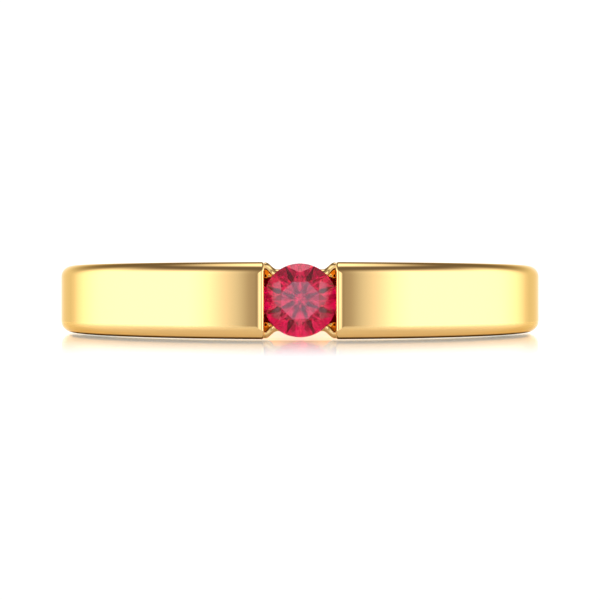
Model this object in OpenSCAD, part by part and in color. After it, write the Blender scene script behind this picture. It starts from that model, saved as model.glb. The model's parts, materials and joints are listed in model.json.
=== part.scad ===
// Engagement ring: a polished gold band lying on its side, with a round brilliant ruby
// held between its two ends. The stone faces -Y and the ring's axis is +Z.
// The origin is the middle of the outer circle, on the surface that the ring lies on.

/* [Band] */
// Outer diameter of the band
ring_d = 21.6; // [21.2:0.1:24]
// Width of the band along the finger
band_w = 2.94; // [2.9:0.01:3.4]
// Rounding of the two outer edges
edge_r = 0.5; // [0.3:0.02:0.6]
// Depth of the flat land cut across the front of the band, beside the stone
land_cut = 0.12; // [0.1:0.01:0.14]

/* [Finger hole] */
// Diameter of the finger hole
bore_d = 17; // [16:0.1:17.2]
// How far the hole sits behind the middle of the outer circle, which thickens the head
bore_back = 0.65; // [0.6:0.05:0.9]
// Rounding of the two edges of the hole
bore_edge_r = 0.25; // [0.1:0.05:0.4]

/* [Stone] */
// Diameter of the stone across its girdle
stone_d = 2.85; // [2.8:0.01:2.9]
// Table width from corner to corner, as a part of the diameter
table_part = 0.54; // [0.5:0.01:0.6]
// Slope of the eight kite facets of the crown
crown_angle = 34.5; // [32:0.5:36]
// Slope of the eight main facets of the pavilion
pavilion_angle = 40.75; // [40:0.25:41.5]
// Height of the girdle where it is thickest
girdle_h = 0.1; // [0.08:0.01:0.14]
// Length of the star facets, as a part of the way from table to girdle
star_part = 0.5; // [0.45:0.05:0.6]
// Length of the lower girdle facets, as a part of the way from girdle to culet
lower_part = 0.77; // [0.7:0.01:0.82]
// Width of the culet, the tiny flat at the stone's point
culet_d = 0.06; // [0.04:0.01:0.1]

/* [Setting] */
// Clear width between the two ends of the band
notch_w = 2.71; // [2.69:0.01:2.76]
// Depth of the stone's girdle below the outer circle
girdle_depth = 1.34; // [1.25:0.01:1.4]
// Rounding of the rim where each end of the band turns down to the stone
rim_r = 0.12; // [0.08:0.01:0.16]
// Depth of the ledge below the middle of the girdle
ledge_drop = 0.12; // [0.1:0.01:0.2]
// Length over which the ledge rises to each wall of the gap
shoulder_run = 0.24; // [0.1:0.02:0.3]
// Slope of that rise
shoulder_slope = 15; // [0:1:20]
// Width of the bridge under the stone at its waist
waist_w = 2.4; // [2.34:0.01:2.5]
// Half of the length over which the bridge keeps its waist width
waist_half = 0.88; // [0.8:0.01:0.88]
// Length of each curve from the waist out to the full width of the band
scoop_run = 0.46; // [0.4:0.01:0.46]
// Width of the rail that stands along each side of the bridge
rail_w = 0.24; // [0.2:0.01:0.28]
// Depth of the recess between the two rails
recess_depth = 0.3; // [0.2:0.01:0.4]
// Diameter of the opening under the stone's point
light_hole_d = 1.2; // [0.8:0.1:1.4]
// Space between the stone and the metal around it
stone_gap = 0.02; // [0.02:0.005:0.03]

/* [Hidden] */
$fn = 96;
ring_r = ring_d / 2;
bore_r = bore_d / 2;
stone_r = stone_d / 2;
mid_z = band_w / 2;
girdle_y = girdle_depth - ring_r;
ledge_y = girdle_y + ledge_drop;
shoulder_y = ledge_y - shoulder_run * tan(shoulder_slope);
recess_y = ledge_y + recess_depth;
land_y = land_cut - ring_r;
// Steps that stand in for one small rounding, and for one curve of the bridge
round_steps = 6;
scoop_steps = 8;
// Cutting solids reach this far past what they cut
past = 1;
// Half the angle between neighbouring kites of the crown
half_turn = 22.5;
// Straight steps of the girdle along one facet, and all round
girdle_steps = 6;
girdle_n = 16 * girdle_steps;
girdle_step = 360 / girdle_n;

// Points along a circular arc, in equal steps
function arc_points(centre, r, from, to, steps) =
    [for (i = [0:steps]) centre + r * [cos(from + (to - from) * i / steps), sin(from + (to - from) * i / steps)]];

// A point on a circle about the stone's axis, given its distance out, its direction and its height
function around(out, angle, height) = [out * cos(angle), out * sin(angle), height];

// Band

// Half of the band's cross-section as a solid disc: outer edges rounded, no hole yet
module disc_outline() {
    square([ring_r - edge_r, band_w]);
    translate([0, edge_r]) square([ring_r, band_w - 2 * edge_r]);
    for (z = [edge_r, band_w - edge_r]) translate([ring_r - edge_r, z]) circle(edge_r);
}

// What the finger hole takes away at one of its edges, to leave it rounded
module bore_edge_outline() {
    difference() {
        translate([bore_r - bore_edge_r, -past]) square([2 * bore_edge_r, past + bore_edge_r]);
        translate([bore_r + bore_edge_r, bore_edge_r]) circle(bore_edge_r);
    }
}

module finger_hole() {
    translate([0, bore_back, 0]) {
        translate([0, 0, -past]) cylinder(h = band_w + 2 * past, r = bore_r);
        for (flip = [0, 1]) {
            translate([0, 0, flip * band_w]) mirror([0, 0, flip])
                rotate_extrude() bore_edge_outline();
        }
    }
}

// Outline, seen along the ring's axis, of the gap between the two ends of the band
module notch_outline() {
    half = notch_w / 2;
    rim = arc_points([half + rim_r, land_y + rim_r], rim_r, 270, 180, round_steps);
    left = [for (i = [round_steps:-1:0]) [-rim[i][0], rim[i][1]]];
    front = land_y - past;
    flat = half - shoulder_run;
    ledge = [[half, shoulder_y], [flat, ledge_y], [-flat, ledge_y], [-half, shoulder_y]];
    polygon(concat([[half + rim_r, front]], rim, ledge, left, [[-half - rim_r, front]]));
}

// How far the bridge reaches from the middle of the band, at a place x along it
function bridge_half(x) =
    let (way = min(1, max(0, (abs(x) - waist_half) / scoop_run)))
    waist_w / 2 + (mid_z - waist_w / 2) * (1 - cos(180 * way)) / 2;

// Outline, seen from the front, of the scoop in one side of the bridge
module scoop_outline() {
    reach = waist_half + scoop_run;
    right = [for (i = [0:scoop_steps]) let (x = waist_half + scoop_run * i / scoop_steps) [x, bridge_half(x)]];
    left = [for (i = [scoop_steps:-1:0]) [-right[i][0], right[i][1]]];
    polygon(concat(right, [[reach, mid_z + past], [-reach, mid_z + past]], left));
}

// The scoops run from the front of the bridge down to the finger
module scoops() {
    head_t = ring_r - bore_r + bore_back;
    for (side = [0, 1]) {
        translate([0, head_t - ring_r + past, mid_z]) mirror([0, 0, side])
            rotate([90, 0, 0]) linear_extrude(head_t + 2 * past) scoop_outline();
    }
}

// Half of the recess's width at a place x: the bridge less a rail of even width along its curve
function recess_half(x) =
    let (step = 0.01, slope = (bridge_half(x + step) - bridge_half(x - step)) / (2 * step))
    bridge_half(x) - rail_w * sqrt(1 + slope * slope);

// The recess lies between the two rails and runs from one wall of the gap to the other
module recess() {
    right = [for (i = [0:scoop_steps]) waist_half + (notch_w / 2 - waist_half) * i / scoop_steps];
    places = concat([for (i = [scoop_steps:-1:0]) -right[i]], right);
    last = len(places) - 1;
    outline = concat([for (x = places) [x, recess_half(x)]],
        [for (i = [last:-1:0]) [places[i], -recess_half(places[i])]]);
    translate([0, recess_y, mid_z]) rotate([90, 0, 0]) linear_extrude(recess_depth + past) polygon(outline);
}

// The room that the stone takes in the metal: a seat for its pavilion, a groove for its girdle
module stone_room() {
    wide = stone_r + stone_gap;
    half = girdle_h / 2 + stone_gap;
    rotate_extrude() polygon([
        [0, -half - wide * tan(pavilion_angle)],
        [wide, -half],
        [wide, half],
        [0, half + wide * tan(crown_angle)]]);
}

module at_stone() {
    translate([0, girdle_y, mid_z]) rotate([90, 0, 0]) children();
}

module band() {
    color("gold") difference() {
        rotate_extrude() disc_outline();
        finger_hole();
        translate([-ring_r, land_y - ring_r, -past]) cube([ring_d, ring_r, band_w + 2 * past]);
        translate([0, 0, -past]) linear_extrude(band_w + 2 * past) notch_outline();
        scoops();
        recess();
        at_stone() stone_room();
        at_stone() translate([0, 0, -ring_r / 2]) cylinder(h = ring_r / 2, d = light_hole_d);
    }
}

// Ruby, modelled with its table up and its girdle at height 0, and moved to its seat

top_z = girdle_h / 2;
table_r = stone_r * table_part;
table_z = top_z + (stone_r - table_r) * tan(crown_angle);
// Two kites meet along a line an eighth of a turn from the next: on it the star ends
star_out = table_r * cos(half_turn) * (1 - star_part) + stone_r * star_part;
star_z = top_z + (stone_r - star_out * cos(half_turn)) * tan(crown_angle);
// Two pavilion mains meet under that line: on it the lower girdle facets end
lower_out = stone_r * (1 - lower_part);
lower_z = top_z + (stone_r - lower_out * cos(half_turn)) * tan(pavilion_angle);
culet_z = top_z + (stone_r - culet_d / 2) * tan(pavilion_angle);
culet_out = culet_d / 2 / cos(half_turn);

// Height of a facet that ends on two girdle points a half turn apart and on a tip between the
// girdle and the middle, taken on the girdle at an angle from its own middle line
function girdle_edge(tip_out, tip_z, angle) =
    top_z - (tip_z - top_z) * (cos(angle) - cos(half_turn / 2)) / (1 - tip_out / stone_r) / cos(half_turn / 2);

// One ring of points round the whole girdle
function girdle_ring(tip_out, tip_z, sign) =
    [for (i = [0:girdle_n - 1]) let (angle = i * girdle_step, from_middle = angle % half_turn - half_turn / 2)
        around(stone_r, angle, sign * girdle_edge(tip_out, tip_z, from_middle))];

function ring_of_eight(out, angle, height) = [for (k = [0:7]) around(out, angle + 45 * k, height)];

// Places in the list of points: kite k stands at 22.5 + 45 k degrees, the star after it at 45 + 45 k
function table_at(k) = k % 8;
function star_at(k) = 8 + k % 8;
function upper_at(i) = 16 + i % girdle_n;
function under_at(i) = 16 + girdle_n + i % girdle_n;
function lower_at(k) = 16 + 2 * girdle_n + k % 8;
function culet_at(k) = 24 + 2 * girdle_n + k % 8;
function kite_place(k) = girdle_steps * (2 * k + 1);

module ruby_cut() {
    points = concat(
        ring_of_eight(table_r, half_turn, table_z),
        ring_of_eight(star_out, 2 * half_turn, star_z),
        girdle_ring(star_out, star_z, 1),
        girdle_ring(lower_out, lower_z, -1),
        ring_of_eight(lower_out, 2 * half_turn, -lower_z),
        ring_of_eight(culet_out, 2 * half_turn, -culet_z));
    table = [[for (k = [7:-1:0]) table_at(k)]];
    culet = [[for (k = [0:7]) culet_at(k)]];
    stars = [for (k = [0:7]) [table_at(k), table_at(k + 1), star_at(k)]];
    kites = [for (k = [0:7]) [table_at(k), star_at(k), upper_at(kite_place(k)), star_at(k + 7)]];
    mains = [for (k = [0:7])
        [under_at(kite_place(k)), lower_at(k), culet_at(k), culet_at(k + 7), lower_at(k + 7)]];
    // The two facets beside each star's line run along the girdle from kite to line, and on to the next kite
    uppers = [for (k = [0:7], part = [0, 1]) let (first = kite_place(k) + part * girdle_steps)
        concat([star_at(k)], [for (i = [girdle_steps:-1:0]) upper_at(first + i)])];
    lowers = [for (k = [0:7], part = [0, 1]) let (first = kite_place(k) + part * girdle_steps)
        concat([lower_at(k)], [for (i = [0:girdle_steps]) under_at(first + i)])];
    girdle = [for (i = [0:girdle_n - 1]) [upper_at(i), upper_at(i + 1), under_at(i + 1), under_at(i)]];
    polyhedron(points, concat(table, stars, kites, uppers, girdle, lowers, mains, culet));
}

module ruby() {
    color("crimson") at_stone() ruby_cut();
}

band();
ruby();
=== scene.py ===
"""Looks of an engagement ring: a polished gold band lying on its side, its two ends holding a round
brilliant ruby. The CAD frame gives the sizes. The band is replaced by a finely meshed copy of itself
with softly polished edges, and the ruby's faceted solid stays as it is.

Metres. The stone faces -Y, the ring's axis is +Z, and the ring lies on z = 0.
"""

import json
import math

import bmesh
import bpy
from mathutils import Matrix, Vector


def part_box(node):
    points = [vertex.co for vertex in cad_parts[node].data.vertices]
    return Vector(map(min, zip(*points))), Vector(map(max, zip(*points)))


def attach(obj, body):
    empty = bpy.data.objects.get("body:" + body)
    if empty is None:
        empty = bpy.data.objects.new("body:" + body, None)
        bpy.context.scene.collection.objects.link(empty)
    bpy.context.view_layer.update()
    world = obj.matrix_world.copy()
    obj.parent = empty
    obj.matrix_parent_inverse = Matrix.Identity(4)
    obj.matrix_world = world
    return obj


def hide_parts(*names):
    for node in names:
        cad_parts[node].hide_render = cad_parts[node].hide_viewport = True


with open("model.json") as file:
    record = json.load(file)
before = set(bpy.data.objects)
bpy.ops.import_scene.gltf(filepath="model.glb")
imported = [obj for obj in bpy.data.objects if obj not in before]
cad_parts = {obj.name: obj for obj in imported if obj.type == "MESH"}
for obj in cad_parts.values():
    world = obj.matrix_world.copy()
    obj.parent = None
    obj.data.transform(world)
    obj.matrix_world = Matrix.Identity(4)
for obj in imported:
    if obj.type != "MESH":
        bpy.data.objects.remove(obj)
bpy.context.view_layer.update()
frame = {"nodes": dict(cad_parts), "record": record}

MM = 0.001

# Sizes that the frame gives
band_low, band_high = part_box("band")
ruby_low, ruby_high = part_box("ruby")
bore = next(m for m in frame["record"]["mounts"] if m["name"] == "finger_hole")
RING_R = round(band_high.x / MM, 1) * MM
WIDTH = band_high.z
MID_Z = WIDTH / 2
LAND_Y = band_low.y
BORE_R = bore["dims"]["r_mm"] * MM
BORE_BACK = bore["pos_m"][1]
STONE_R = (ruby_high.x - ruby_low.x) / 2

# Sizes of the setting and of the roundings, as in the part's source
EDGE_R = 0.5 * MM
BORE_EDGE_R = 0.25 * MM
NOTCH_HALF = 1.355 * MM
RIM_R = 0.12 * MM
GIRDLE_Y = 1.34 * MM - RING_R
LEDGE_Y = GIRDLE_Y + 0.12 * MM
LEDGE_EDGE_R = 0.17 * MM
LEDGE_FRONT = LEDGE_Y + LEDGE_EDGE_R
SHOULDER_RUN = 0.24 * MM
SHOULDER_SLOPE = math.radians(15)
SHOULDER_BLEND = 0.1 * MM
WAIST_HALF_WIDTH = 1.2 * MM
WAIST_HALF_LENGTH = 0.88 * MM
SCOOP_RUN = 0.46 * MM
LIGHT_HOLE_R = 0.6 * MM
RAIL = 0.24 * MM
RECESS_DEPTH = 0.3 * MM
RECESS_END_R = 0.25 * MM
RECESS_SIDE_R = 0.05 * MM
# Each corner of the recess has a pocket that turns towards the wall
POCKET_START = 0.80 * MM
POCKET_END = 1.02 * MM
POCKET_RUN = 0.25 * MM
POCKET_SLOPE = math.radians(20)
POCKET_LEAN = math.radians(11)
LIP_R = 0.03 * MM
STONE_GAP = 0.02 * MM
GIRDLE_HALF = 0.05 * MM
PAVILION_ANGLE = math.radians(40.75)
CROWN_ANGLE = math.radians(34.5)
# How softly polishing has rounded the crease between the land and the round band
LAND_BLEND = 0.008 * MM
LAND_BLEND_REACH = 1.6

# How finely the meshes are divided
BRIDGE_STATIONS = 64
LAND_STATIONS = 30
ROUND_STATIONS = 150
FLAT_STEPS = 20
HOLLOW_STEPS = 12
LIP_STEPS = 3
RAIL_STEPS = 2
FRONT_STEPS = FLAT_STEPS + HOLLOW_STEPS + LIP_STEPS + 1 + RAIL_STEPS
EDGE_STEPS = 20
BORE_EDGE_STEPS = 12
BORE_STEPS = 4
SEAT_STEPS = 192
LIGHT_HOLE_STEPS = 96
# Points across the recess lie closer together towards this height, where the pockets are
PACKED_END = 1.04 * POCKET_END
PACKING = 1.6
MERGE_DISTANCE = 1e-8
SHARP_ANGLE = math.radians(20)

# Camera, found by fitting the ring's outline in the photograph (600 pixels wide)
IMAGE_PX = 600
FOCAL_PX = 1276.8
HORIZON_PX = 287.48
CAMERA_DISTANCE = 58.74 * MM
CAMERA_HEIGHT = 1.966 * MM
SENSOR_MM = 36
CLIP_START = 1 * MM
CLIP_END = 10

# The ring stands this far above the glossy floor, as in the photograph, where light passes under it
FLOOR_GAP = 0.05 * MM
# The floor's gloss ends between these distances from the ring's middle, and the plain studio follows
FLOOR_FADE = (10 * MM, 27 * MM)
FLOOR_SIZE = 1.1 * FLOOR_FADE[1]
FLOOR_ROUGHNESS = 0.08
FLOOR_IOR = 1.5
FLOOR_COLOUR = (0.9, 0.9, 0.9, 1)
FLOOR_GLOW = 0.2
# Painted light: to the camera, the floor under the ring glows brighter, out to between these distances
PAINTED_GLOW_UNDER_RING = 0.62
PAINTED_GLOW_EDGE = (10.05 * MM, 10.45 * MM)
# Painted warm light: the floor's glow is this cream near the ring, turning white where its gloss ends
PAINTED_WARM_GLOW_COLOUR = (1, 0.97, 0.82, 1)
# Painted shadow: the floor's colour is dark where the band covers it: middle of that ring, and where the
# painted shadow fades on each side
PAINTED_SHADOW_COLOUR = (0.22, 0.13, 0.05, 1)
PAINTED_SHADOW_MIDDLE = 9.6 * MM
PAINTED_SHADOW_FADE = (0.84 * MM, 0.97 * MM)
# The painted shadow is left out round the foot of the stone
UNDER_STONE = (0, -9.6 * MM, 0)
UNDER_STONE_FADE = (1.2 * MM, 1.6 * MM)


# Mesh helpers


def new_object(name, mesh):
    """Links a new object that holds the mesh."""
    piece = bpy.data.objects.new(name, mesh)
    bpy.context.scene.collection.objects.link(piece)
    return piece


def mesh_from(name, points, faces):
    """A mesh from points and faces."""
    mesh = bpy.data.meshes.new(name)
    mesh.from_pydata([tuple(p) for p in points], [], faces)
    mesh.validate()
    return mesh


def merge_doubles(mesh):
    """Joins points that lie in one place and turns all faces outwards."""
    work = bmesh.new()
    work.from_mesh(mesh)
    bmesh.ops.remove_doubles(work, verts=work.verts, dist=MERGE_DISTANCE)
    bmesh.ops.recalc_face_normals(work, faces=work.faces)
    work.to_mesh(mesh)
    work.free()


def lathe(name, profile, steps, place):
    """A closed solid turned from (radius, height) points, both ends on the axis; place maps its points to
    the world."""
    points = []
    for radius, height in profile:
        for i in range(steps):
            angle = 2 * math.pi * i / steps
            points.append(place(radius * math.cos(angle), radius * math.sin(angle), height))
    faces = []
    for j in range(len(profile) - 1):
        for i in range(steps):
            k = (i + 1) % steps
            faces.append((j * steps + i, j * steps + k, (j + 1) * steps + k, (j + 1) * steps + i))
    mesh = mesh_from(name, points, faces)
    merge_doubles(mesh)
    return new_object(name, mesh)


def cut(piece, cutter):
    """Takes the cutter's solid out of the piece and removes the cutter."""
    modifier = piece.modifiers.new("cut", "BOOLEAN")
    modifier.operation = "DIFFERENCE"
    modifier.solver = "MANIFOLD"
    modifier.object = cutter
    graph = bpy.context.evaluated_depsgraph_get()
    result = bpy.data.meshes.new_from_object(piece.evaluated_get(graph))
    piece.modifiers.clear()
    piece.data = result
    bpy.data.objects.remove(cutter)


# Band


def front_of_round(x):
    """Front of the band beside the notch: the outer circle, blended softly into the flat land."""
    circle = math.sqrt(RING_R**2 - x**2)
    land = -LAND_Y
    share = max(LAND_BLEND - abs(circle - land), 0) / LAND_BLEND
    return -(min(circle, land) - share**2 * LAND_BLEND / 4)


def bridge_half(x):
    """Half of the bridge's width at x: a waist that widens to the full band in an S-curve."""
    way = min(1, max(0, (abs(x) - WAIST_HALF_LENGTH) / SCOOP_RUN))
    return WAIST_HALF_WIDTH + (MID_Z - WAIST_HALF_WIDTH) * (1 - math.cos(math.pi * way)) / 2


def rail_front(x):
    """Front of the rails: level under the stone, rising towards the wall of the notch."""
    past = max(0, abs(x) - (NOTCH_HALF - SHOULDER_RUN) + SHOULDER_BLEND / 2)
    soft = min(past, SHOULDER_BLEND)
    return LEDGE_Y - (past - soft + soft**2 / (2 * SHOULDER_BLEND)) * math.tan(SHOULDER_SLOPE)


def recess_half(x):
    """Half of the width of the recess at x: the bridge less a rail of even width along its curve."""
    step = 0.01 * MM
    slope = (bridge_half(x + step) - bridge_half(x - step)) / (2 * step)
    return bridge_half(x) - RAIL * math.sqrt(1 + slope**2)


def plain_front(x, y, reach):
    """The front of a cross-section where it is flat, from its middle out to the reach."""
    turns = [math.pi / 2 * i / FRONT_STEPS for i in range(FRONT_STEPS)]
    return [(x, y, reach * math.sin(turn)) for turn in turns]


def hollow_front(x, y, reach):
    """The front of a cross-section of the bridge: the recess, its lip and the rail beside it."""
    past = min(1, (NOTCH_HALF - abs(x)) / RECESS_END_R)
    full = LEDGE_Y + RECESS_DEPTH - y
    shallow = full * math.sqrt(1 - (1 - past) ** 2)
    deep = full - min(POCKET_RUN, NOTCH_HALF - abs(x)) * math.tan(POCKET_SLOPE)
    inner = recess_half(x)
    fillet = min(RECESS_SIDE_R, deep)
    round_start = inner - fillet
    front = []
    for i in range(FLAT_STEPS):
        z = min(round_start, PACKED_END) * (1 - (1 - i / FLAT_STEPS) ** PACKING)
        way = min(1, max(0, (z - POCKET_START) / (POCKET_END - POCKET_START)))
        depth = shallow + (deep - shallow) * way * way * (3 - 2 * way)
        front.append((x, y + depth + max(0, z - POCKET_START) * math.tan(POCKET_LEAN), z))
    deep += max(0, round_start - POCKET_START) * math.tan(POCKET_LEAN)
    for i in range(HOLLOW_STEPS):
        turn = math.pi / 2 * i / HOLLOW_STEPS
        rise = fillet * (1 - math.cos(turn))
        front.append((x, y + deep - rise, round_start + fillet * math.sin(turn)))
    lip = min(LIP_R, deep - fillet)
    for i in range(LIP_STEPS + 1):
        turn = math.pi / 2 * i / LIP_STEPS
        front.append((x, y + lip * (1 - math.sin(turn)), inner + lip * (1 - math.cos(turn))))
    for i in range(1, RAIL_STEPS + 1):
        front.append((x, y, inner + lip + (reach - inner - lip) * i / (RAIL_STEPS + 1)))
    return front


def half_loop(front, edge, side_middle, half, bore_start, bore_wall):
    """Upper half of one closed cross-section, from the middle of the front to the middle of the bore.
    edge is the list of points round the outer edge; the last two arguments place bore points."""
    loop = front + edge
    loop.append(side_middle)
    for i in range(BORE_EDGE_STEPS + 1):
        turn = math.pi / 2 * i / BORE_EDGE_STEPS
        x, y = bore_start(BORE_R + BORE_EDGE_R * (1 - math.sin(turn)))
        loop.append((x, y, half - BORE_EDGE_R * (1 - math.cos(turn))))
    x, y = bore_wall
    for i in range(1, BORE_STEPS + 1):
        loop.append((x, y, (half - BORE_EDGE_R) * (1 - i / BORE_STEPS)))
    return loop


def bridge_station(x):
    """Cross-section of the bridge in a plane x = constant, with heights from the middle of the band."""
    half, y = bridge_half(x), rail_front(x)
    edge = []
    for i in range(EDGE_STEPS + 1):
        turn = math.pi / 2 * i / EDGE_STEPS
        rise = LEDGE_EDGE_R * (1 - math.cos(turn))
        edge.append((x, y + rise, half - LEDGE_EDGE_R * (1 - math.sin(turn))))
    bore_at = lambda out: (x, BORE_BACK - math.sqrt(out**2 - x**2))
    front = hollow_front(x, y, edge[0][2])
    return half_loop(front, edge, (x, LEDGE_FRONT, half), half, bore_at, bore_at(BORE_R))


def straight_station(x, front_y, inset=0.0):
    """Cross-section of an end of the band in a plane x = constant, its outer edge drawn in by the inset."""
    edge = []
    inner = RING_R - EDGE_R
    radius = EDGE_R - inset
    reach = math.hypot(x, front_y)
    start = math.acos(min(1, (reach - inner) / radius))
    for i in range(EDGE_STEPS + 1):
        turn = start + (math.pi / 2 - start) * i / EDGE_STEPS
        out = inner + radius * math.cos(turn)
        edge.append((x, -math.sqrt(out**2 - x**2), MID_Z - inset - radius * (1 - math.sin(turn))))
    edge[0] = (x, front_y, edge[0][2])
    bore_at = lambda out: (x, BORE_BACK - math.sqrt(out**2 - x**2))
    front = plain_front(x, front_y, edge[0][2])
    return half_loop(front, edge, (x, LEDGE_FRONT, MID_Z), MID_Z, bore_at, bore_at(BORE_R))


def round_station(outer_angle, inner_angle, side_share):
    """Cross-section through the round part: the outer edge at one angle about the outer circle, the bore
    at another about the bore's own middle."""
    sine, cosine = math.sin(outer_angle), math.cos(outer_angle)
    edge = []
    for i in range(EDGE_STEPS + 1):
        turn = math.pi / 2 * i / EDGE_STEPS
        out = RING_R - EDGE_R * (1 - math.cos(turn))
        edge.append((out * sine, -out * cosine, MID_Z - EDGE_R * (1 - math.sin(turn))))
    bore_at = lambda out: (out * math.sin(inner_angle), BORE_BACK - out * math.cos(inner_angle))
    last = edge[-1]
    x, y = bore_at(BORE_R + BORE_EDGE_R)
    middle = (last[0] + (x - last[0]) * side_share, last[1] + (y - last[1]) * side_share, MID_Z)
    front = [(RING_R * sine, -RING_R * cosine, z) for _, _, z in plain_front(0, 0, edge[0][2])]
    return half_loop(front, edge, middle, MID_Z, bore_at, bore_at(BORE_R))


def right_half_stations():
    """Cross-sections from the middle of the bridge round to the back of the band."""
    stations = []
    for i in range(BRIDGE_STATIONS + 1):
        x = NOTCH_HALF * math.sin(math.pi / 2 * i / BRIDGE_STATIONS)
        stations.append(bridge_station(x))
    for i in range(EDGE_STEPS + 1):
        turn = math.pi / 2 * i / EDGE_STEPS
        x = NOTCH_HALF + RIM_R * (1 - math.cos(turn))
        inset = RIM_R * (1 - math.sin(turn))
        stations.append(straight_station(x, LAND_Y + inset, inset))
    land_end = math.sqrt(RING_R**2 - LAND_Y**2)
    blend = LAND_BLEND / (land_end / RING_R)
    first = land_end + LAND_BLEND_REACH * blend
    for i in range(1, LAND_STATIONS + 1):
        x = NOTCH_HALF + RIM_R + (first - NOTCH_HALF - RIM_R) * i / LAND_STATIONS
        stations.append(straight_station(x, front_of_round(x)))
    outer_first = math.asin(first / RING_R)
    inner_first = math.asin(first / BORE_R)
    side_first = stations[-1]
    edge_end, side, bore_first = (side_first[FRONT_STEPS + EDGE_STEPS + k] for k in range(3))
    side_share = (side[1] - edge_end[1]) / (bore_first[1] - edge_end[1])
    for i in range(1, ROUND_STATIONS + 1):
        way = i / ROUND_STATIONS
        outer = outer_first + (math.pi - outer_first) * way
        # The bore's angle starts ahead of the outer one and meets it at the back
        extra = (inner_first - outer_first) * (1 - way) ** 2 * (1 + 2 * way)
        stations.append(round_station(outer, outer + extra, side_share))
    return stations


def band_mesh():
    """The whole band, with the left half mirrored from the right and the lower half from the upper."""
    right = right_half_stations()
    whole = right + [[(-x, y, z) for x, y, z in half] for half in reversed(right[1:-1])]
    points = []
    for half in whole:
        lower = [(x, y, -z) for x, y, z in reversed(half[1:-1])]
        points += [(x, y, z + MID_Z) for x, y, z in half + lower]
    around = len(points) // len(whole)
    faces = []
    for s in range(len(whole)):
        t = (s + 1) % len(whole)
        for i in range(around):
            j = (i + 1) % around
            faces.append((s * around + i, s * around + j, t * around + j, t * around + i))
    mesh = mesh_from("gold_band", points, faces)
    merge_doubles(mesh)
    return mesh


def at_stone(x, y, z):
    """From the stone's own frame, table up and girdle at height 0, to its seat."""
    return (x, GIRDLE_Y - z, MID_Z + y)


def stone_cutters():
    """What the stone's room and the hole under its point take away."""
    wide = STONE_R + STONE_GAP
    half = GIRDLE_HALF + STONE_GAP
    seat = [
        (0, -half - wide * math.tan(PAVILION_ANGLE)),
        (wide, -half),
        (wide, half),
        (0, half + wide * math.tan(CROWN_ANGLE)),
    ]
    yield lathe("seat_cutter", seat, SEAT_STEPS, at_stone)
    deep = -RING_R / 2
    hole = [(0, deep), (LIGHT_HOLE_R, deep), (LIGHT_HOLE_R, 0), (0, 0)]
    yield lathe("light_cutter", hole, LIGHT_HOLE_STEPS, at_stone)


band = new_object("gold_band", band_mesh())
for cutter in stone_cutters():
    cut(band, cutter)
merge_doubles(band.data)
band.data.shade_smooth()
band.data.set_sharp_from_angle(angle=SHARP_ANGLE)
weighted = band.modifiers.new("weighted_normals", "WEIGHTED_NORMAL")
weighted.keep_sharp = True
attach(band, "root")
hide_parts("band")

ruby = frame["nodes"]["ruby"]


# Materials

WHITE = (1, 1, 1, 1)
# Noise lies mostly between these values
NOISE_RANGE = (0.35, 0.65)

GOLD_COLOUR = (1.0, 0.69, 0.30, 1)
GOLD_EDGE_COLOUR = (1.0, 0.825, 0.48, 1)
GOLD_ROUGHNESS = (0.04, 0.065)
GOLD_NOISE = (1.5, 4)

RUBY_IOR = 2.25
RUBY_INSIDE_COLOUR = (0.995, 0.0, 0.72, 1)
RUBY_DENSITY = 2300
SILK_COLOUR = (1, 0.97, 0.98, 1)
SILK_NOISE = (2.5, 3)
COAT_IOR = 1.5
COAT_ROUGHNESS = 0.5
# Painted reflection strength: how strongly a facet mirrors, set by its normal: where the change starts and
# ends, value before and after
PAINTED_GLOSS_SIDEWAYS = (0.12, 0.22, 1.0, 0.2)
PAINTED_GLOSS_UPWARDS = (0.3, 0.5, 0.5, 0.85)
PAINTED_GLOSS_DOWNWARDS = (-0.5, -0.3, 0.3, 1.0)
# The two star facets beside the table, by their normal and their place, and the tint of their painted
# neutral sheen
STAR_SIDEWAYS = (0.28, 0.32)
STAR_FORWARD = (0.79, 0.81)
STAR_ZONE = (0.9 * MM, 1.15 * MM, 1.0, 0.0)
STAR_PAINTED_SHEEN = (0.42, 0.62, 1.7, 1)
TABLE_FORWARD = (0.98, 0.99)
# Painted tint of the table's reflection
TABLE_PAINTED_TINT = (0.8, 0.7, 0.9, 1)
TABLE_ROUGHNESS = 0.14
# Red glow: a little all over, and painted light at the sides; where the change starts and ends, value
# before and after
RED_GLOW_AND_PAINTED_LIGHT = (1, 0, 0.03, 1)
GLOW_AND_PAINTED_LIGHT_BY_SIDE = (0.95 * MM, 1.3 * MM, 0.004, 0.05)


def new_material(name):
    """An empty node material and its output node."""
    material = bpy.data.materials.new(name)
    material.use_nodes = True
    material.node_tree.nodes.clear()
    return material, material.node_tree, material.node_tree.nodes.new("ShaderNodeOutputMaterial")


def fill(tree, socket, value):
    """Gives a socket a constant, or links another node's output to it."""
    if isinstance(value, (int, float, tuple)):
        socket.default_value = value
    else:
        tree.links.new(value, socket)


def math_of(tree, operation, a, b=0.0):
    node = tree.nodes.new("ShaderNodeMath")
    node.operation = operation
    fill(tree, node.inputs[0], a)
    fill(tree, node.inputs[1], b)
    return node.outputs[0]


def product(tree, a, b):
    return math_of(tree, "MULTIPLY", a, b)


def total(tree, a, b):
    return math_of(tree, "ADD", a, b)


def difference(tree, a, b):
    return math_of(tree, "SUBTRACT", a, b)


def larger(tree, a, b):
    return math_of(tree, "MAXIMUM", a, b)


def size_of(tree, a):
    return math_of(tree, "ABSOLUTE", a)


def between(tree, share, first, second):
    """The first value where the share is 0, the second where it is 1."""
    return total(tree, product(tree, difference(tree, 1.0, share), first), product(tree, share, second))


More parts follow.
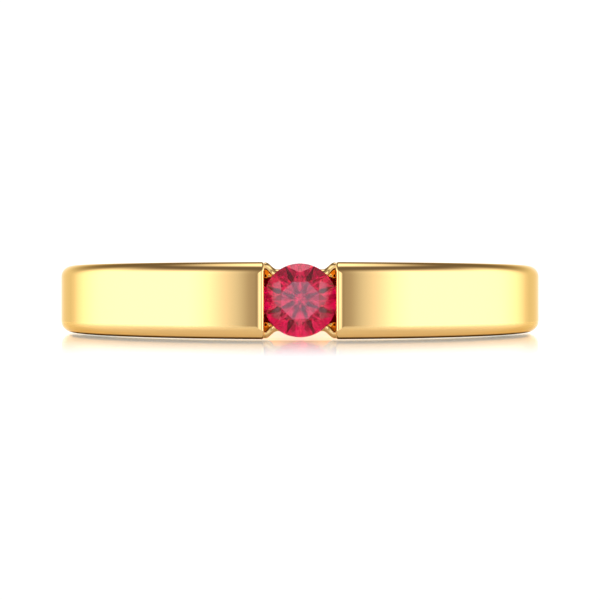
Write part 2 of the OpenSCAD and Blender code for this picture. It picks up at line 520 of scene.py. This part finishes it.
def ease(tree, value, start, end, low=0.0, high=1.0):
    """Goes smoothly from low to high while the value goes from start to end."""
    node = tree.nodes.new("ShaderNodeMapRange")
    node.interpolation_type = "SMOOTHSTEP"
    fill(tree, node.inputs["Value"], value)
    for name, number in (("From Min", start), ("From Max", end), ("To Min", low), ("To Max", high)):
        node.inputs[name].default_value = number
    return node.outputs[0]


def blend_colours(tree, share, first, second):
    node = tree.nodes.new("ShaderNodeMix")
    node.data_type = "RGBA"
    fill(tree, node.inputs["Factor"], share)
    fill(tree, node.inputs["A"], first)
    fill(tree, node.inputs["B"], second)
    return node.outputs["Result"]


def parts_of(tree, vector):
    """The three parts of a vector."""
    split = tree.nodes.new("ShaderNodeSeparateXYZ")
    tree.links.new(vector, split.inputs[0])
    return split.outputs


def noise_of(tree, per_mm, detail):
    """Fine irregularity fixed to the piece, about 0.5 on average."""
    coords = tree.nodes.new("ShaderNodeTexCoord")
    noise = tree.nodes.new("ShaderNodeTexNoise")
    noise.inputs["Scale"].default_value = per_mm / MM
    noise.inputs["Detail"].default_value = detail
    tree.links.new(coords.outputs["Object"], noise.inputs["Vector"])
    return noise.outputs[0]


def gold_material():
    material, tree, out = new_material("polished_gold")
    shader = tree.nodes.new("ShaderNodeBsdfPrincipled")
    tree.links.new(shader.outputs[0], out.inputs["Surface"])
    shader.inputs["Base Color"].default_value = GOLD_COLOUR
    shader.inputs["Specular Tint"].default_value = GOLD_EDGE_COLOUR
    shader.inputs["Metallic"].default_value = 1
    # Polishing leaves the gloss slightly uneven
    uneven = ease(tree, noise_of(tree, *GOLD_NOISE), *NOISE_RANGE, *GOLD_ROUGHNESS)
    fill(tree, shader.inputs["Roughness"], uneven)
    return material


def painted_ruby_gloss(tree, beside):
    """How strongly each facet mirrors, painted by its direction, and which facet is the table; beside is
    the way from the stone's middle plane. Front and back facets mirror the studio, the facets beside the
    metal are painted to mirror less of it, and the two stars beside the table get a painted neutral sheen
    where they mirror the gold. The table's mirroring has a painted tint."""
    geometry = tree.nodes.new("ShaderNodeNewGeometry")
    across, along, up = parts_of(tree, geometry.outputs["True Normal"])
    sideways = size_of(tree, across)
    forward = size_of(tree, along)
    painted_gloss = ease(tree, sideways, *PAINTED_GLOSS_SIDEWAYS)
    painted_gloss = product(tree, painted_gloss, ease(tree, up, *PAINTED_GLOSS_UPWARDS))
    painted_gloss = product(tree, painted_gloss, ease(tree, up, *PAINTED_GLOSS_DOWNWARDS))
    star_sheen_share = product(tree, ease(tree, sideways, *STAR_SIDEWAYS), ease(tree, forward, *STAR_FORWARD))
    star_sheen_share = product(tree, star_sheen_share, ease(tree, beside, *STAR_ZONE))
    table = ease(tree, forward, *TABLE_FORWARD)
    painted_gloss = blend_colours(tree, star_sheen_share, painted_gloss, STAR_PAINTED_SHEEN)
    return blend_colours(tree, table, painted_gloss, TABLE_PAINTED_TINT), table


def ruby_material():
    material, tree, out = new_material("ruby_glass")
    shader = tree.nodes.new("ShaderNodeBsdfPrincipled")
    tree.links.new(shader.outputs[0], out.inputs["Surface"])
    silk = ease(tree, noise_of(tree, *SILK_NOISE), *NOISE_RANGE)
    fill(tree, shader.inputs["Base Color"], blend_colours(tree, silk, SILK_COLOUR, WHITE))
    shader.inputs["Transmission Weight"].default_value = 1
    shader.inputs["IOR"].default_value = RUBY_IOR
    shader.inputs["Coat Weight"].default_value = 1
    shader.inputs["Coat IOR"].default_value = COAT_IOR
    shader.inputs["Coat Roughness"].default_value = COAT_ROUGHNESS
    coords = tree.nodes.new("ShaderNodeTexCoord")
    beside = size_of(tree, parts_of(tree, coords.outputs["Object"])[0])
    # Painted reflections: how strongly and in what tint each facet mirrors is set by its direction
    painted_gloss, table = painted_ruby_gloss(tree, beside)
    fill(tree, shader.inputs["Specular Tint"], painted_gloss)
    # The table's polish is a little softer than that of the other facets
    fill(tree, shader.inputs["Roughness"], product(tree, table, TABLE_ROUGHNESS))
    # Rubies glow a little red in daylight; the stronger glow at the sides is painted light, brightening the
    # sides which lie in the metal's shade
    shader.inputs["Emission Color"].default_value = RED_GLOW_AND_PAINTED_LIGHT
    fill(tree, shader.inputs["Emission Strength"], ease(tree, beside, *GLOW_AND_PAINTED_LIGHT_BY_SIDE))
    volume = tree.nodes.new("ShaderNodeVolumeAbsorption")
    volume.inputs["Color"].default_value = RUBY_INSIDE_COLOUR
    volume.inputs["Density"].default_value = RUBY_DENSITY
    tree.links.new(volume.outputs[0], out.inputs["Volume"])
    return material


def distance_node(tree, point):
    """How far a place on the piece is from a point."""
    coords = tree.nodes.new("ShaderNodeTexCoord")
    node = tree.nodes.new("ShaderNodeVectorMath")
    node.operation = "DISTANCE"
    tree.links.new(coords.outputs["Object"], node.inputs[0])
    node.inputs[1].default_value = point
    return node.outputs["Value"]


def floor_material():
    material, tree, out = new_material("pale_floor")
    mix = tree.nodes.new("ShaderNodeMixShader")
    clear = tree.nodes.new("ShaderNodeBsdfTransparent")
    shader = tree.nodes.new("ShaderNodeBsdfPrincipled")
    path = tree.nodes.new("ShaderNodeLightPath")
    geometry = tree.nodes.new("ShaderNodeNewGeometry")
    tree.links.new(mix.outputs[0], out.inputs["Surface"])
    tree.links.new(shader.outputs[0], mix.inputs[1])
    tree.links.new(clear.outputs[0], mix.inputs[2])
    shader.inputs["Roughness"].default_value = FLOOR_ROUGHNESS
    shader.inputs["IOR"].default_value = FLOOR_IOR
    reach = distance_node(tree, (0, 0, 0))
    fade = ease(tree, reach, *FLOOR_FADE)
    # Painted shadow: the floor's colour is dark under the band, but not under the stone
    away = size_of(tree, difference(tree, reach, PAINTED_SHADOW_MIDDLE))
    by_stone = ease(tree, distance_node(tree, UNDER_STONE), *UNDER_STONE_FADE, 1.0, 0.0)
    clear_of_painted_shadow = larger(tree, ease(tree, away, *PAINTED_SHADOW_FADE), by_stone)
    fill(tree, shader.inputs["Base Color"], blend_colours(tree, clear_of_painted_shadow, PAINTED_SHADOW_COLOUR, FLOOR_COLOUR))
    # Painted light: to the camera, the floor under the ring glows brighter, as if it were the bright floor
    # beyond the gap; to other rays the floor's glow has the painted shadow under the band
    seen = path.outputs["Is Camera Ray"]
    painted_glow_for_camera = ease(tree, reach, *PAINTED_GLOW_EDGE, PAINTED_GLOW_UNDER_RING, FLOOR_GLOW)
    glow_with_painted_shadow = product(tree, clear_of_painted_shadow, FLOOR_GLOW)
    fill(tree, shader.inputs["Emission Strength"], between(tree, seen, glow_with_painted_shadow, painted_glow_for_camera))
    # Painted warm light: the glow is cream near the ring and white farther out
    fill(tree, shader.inputs["Emission Color"], blend_colours(tree, fade, PAINTED_WARM_GLOW_COLOUR, WHITE))
    # A ray that has come up through the floor doesn't meet it again, so that the ring's underside shows
    came_through = math_of(tree, "GREATER_THAN", path.outputs["Transparent Depth"], 0.5)
    clear_share = larger(tree, larger(tree, fade, geometry.outputs["Backfacing"]), came_through)
    fill(tree, mix.inputs[0], clear_share)
    return material


band.data.materials.clear()
band.data.materials.append(gold_material())
ruby.data.materials.clear()
ruby.data.materials.append(ruby_material())


# Floor, studio and camera


def build_floor():
    size, z = FLOOR_SIZE, -FLOOR_GAP
    points = [(-size, -size, z), (size, -size, z), (size, size, z), (-size, size, z)]
    floor = new_object("floor", mesh_from("floor", points, [(0, 1, 2, 3)]))
    floor.data.materials.append(floor_material())


# Brightness of the studio round the ring, by degrees from the camera's side
AROUND = [
    (0, 1.1), (4.5, 0.9), (8, 0.6), (13, 0.37), (19, 0.37), (23, 0.50), (28.5, 0.79), (34, 1.03),
    (40, 1.35), (46, 1.65), (52, 1.85), (106, 1.85), (112, 1.75), (118, 1.6), (124, 1.4), (129, 1.15),
    (132, 0.95), (138, 0.82), (146, 0.87), (151, 0.93), (158, 1.05), (170, 1.2), (180, 1.2),
]
# Two soft round lights and one shade: middle in two parts of the direction, where it fades, strength
OVERHEAD = ((0.0, 0.17), (0.10, 0.55), 1.65)
FRONT = ((0.0, 0.0), (0.035, 0.075), 0.4)
SHADE = ((0.0, 0.0), (0.14, 0.24), 0.95)
# The next ones are ranges of a direction's part, in which the studio changes from one level to another
UPPER_EDGE = (0.34, 0.80)
UPPER_LEVEL = 0.18
REAR_DROP = (0.30, 0.80, 0.0, 0.22)
OVERHEAD_EDGE = (0.0, 0.3)
LOWER_EDGE = (-0.05, -0.22)
LOWER_LEVELS = (-0.35, -0.85, 1.05, 0.55)
FRONT_EDGE = (0.0, -0.3)
HORIZON_STRIP = (0.035, 0.055)
# Dim parts of the studio are warmer than bright ones
WARM_COLOUR = (1, 0.86, 0.76, 1)
WARM_LEVELS = (0.15, 0.8)


def soft_spot(tree, a, b, middle, reach, strength):
    """A round spot in direction parts a and b about its middle, fading over the reach."""
    gaps = [difference(tree, part, centre) for part, centre in zip((a, b), middle)]
    squares = [math_of(tree, "POWER", gap, 2.0) for gap in gaps]
    return ease(tree, math_of(tree, "SQRT", total(tree, *squares)), *reach, strength, 0.0)


def level_around(tree, right, back):
    """Brightness by the direction round the ring."""
    turn = math_of(tree, "ARCTAN2", size_of(tree, right), product(tree, back, -1.0))
    ramp = tree.nodes.new("ShaderNodeValToRGB")
    fill(tree, ramp.inputs[0], math_of(tree, "DIVIDE", turn, math.pi))
    stops = ramp.color_ramp.elements
    brightest = max(level for _, level in AROUND)
    for i, (degrees, level) in enumerate(AROUND):
        stop = stops[i] if i < 2 else stops.new(degrees / 180)
        stop.position = degrees / 180
        grey = level / brightest
        stop.color = (grey, grey, grey, 1)
    return product(tree, ramp.outputs[0], brightest)


def build_world():
    world = bpy.data.worlds.new("studio")
    bpy.context.scene.world = world
    world.use_nodes = True
    tree = world.node_tree
    tree.nodes.clear()
    out = tree.nodes.new("ShaderNodeOutputWorld")
    background = tree.nodes.new("ShaderNodeBackground")
    coords = tree.nodes.new("ShaderNodeTexCoord")
    path = tree.nodes.new("ShaderNodeLightPath")
    tree.links.new(background.outputs[0], out.inputs[0])
    right, back, up = parts_of(tree, coords.outputs["Generated"])
    # The bright band round the horizon ends lower behind the ring than before it
    raised = total(tree, up, ease(tree, back, *REAR_DROP))
    upper = between(tree, ease(tree, raised, *UPPER_EDGE), level_around(tree, right, back), UPPER_LEVEL)
    overhead = product(tree, soft_spot(tree, right, back, *OVERHEAD), ease(tree, up, *OVERHEAD_EDGE))
    upper = total(tree, upper, overhead)
    # Under the horizon the studio goes from the same brightness to white, and dims straight below
    level = between(tree, ease(tree, up, *LOWER_EDGE), upper, ease(tree, up, *LOWER_LEVELS))
    # The studio is dark round the camera, but for the soft light at the camera itself. Mirrors don't show
    # this shade on the horizon, where the studio's bright band is
    shade = product(tree, soft_spot(tree, right, up, *SHADE), ease(tree, back, *FRONT_EDGE))
    off_horizon = ease(tree, size_of(tree, up), *HORIZON_STRIP)
    shade = product(tree, shade, larger(tree, off_horizon, path.outputs["Is Transmission Ray"]))
    level = product(tree, level, difference(tree, 1.0, shade))
    front = product(tree, soft_spot(tree, right, up, *FRONT), ease(tree, back, *FRONT_EDGE))
    level = total(tree, level, front)
    # The camera itself sees a plain white studio
    level = larger(tree, level, path.outputs["Is Camera Ray"])
    colour = blend_colours(tree, ease(tree, level, *WARM_LEVELS), WARM_COLOUR, WHITE)
    fill(tree, background.inputs["Color"], colour)
    fill(tree, background.inputs["Strength"], level)


def build_camera():
    data = bpy.data.cameras.new("camera")
    camera = bpy.data.objects.new("camera", data)
    bpy.context.scene.collection.objects.link(camera)
    data.sensor_width = SENSOR_MM
    data.lens = SENSOR_MM * FOCAL_PX / IMAGE_PX
    data.shift_y = (HORIZON_PX - IMAGE_PX / 2) / IMAGE_PX
    data.clip_start = CLIP_START
    data.clip_end = CLIP_END
    camera.location = (0, -CAMERA_DISTANCE, CAMERA_HEIGHT)
    camera.rotation_euler = (math.pi / 2, 0, 0)
    bpy.context.scene.camera = camera


build_floor()
build_world()
build_camera()
bpy.context.scene.view_settings.view_transform = "Standard"
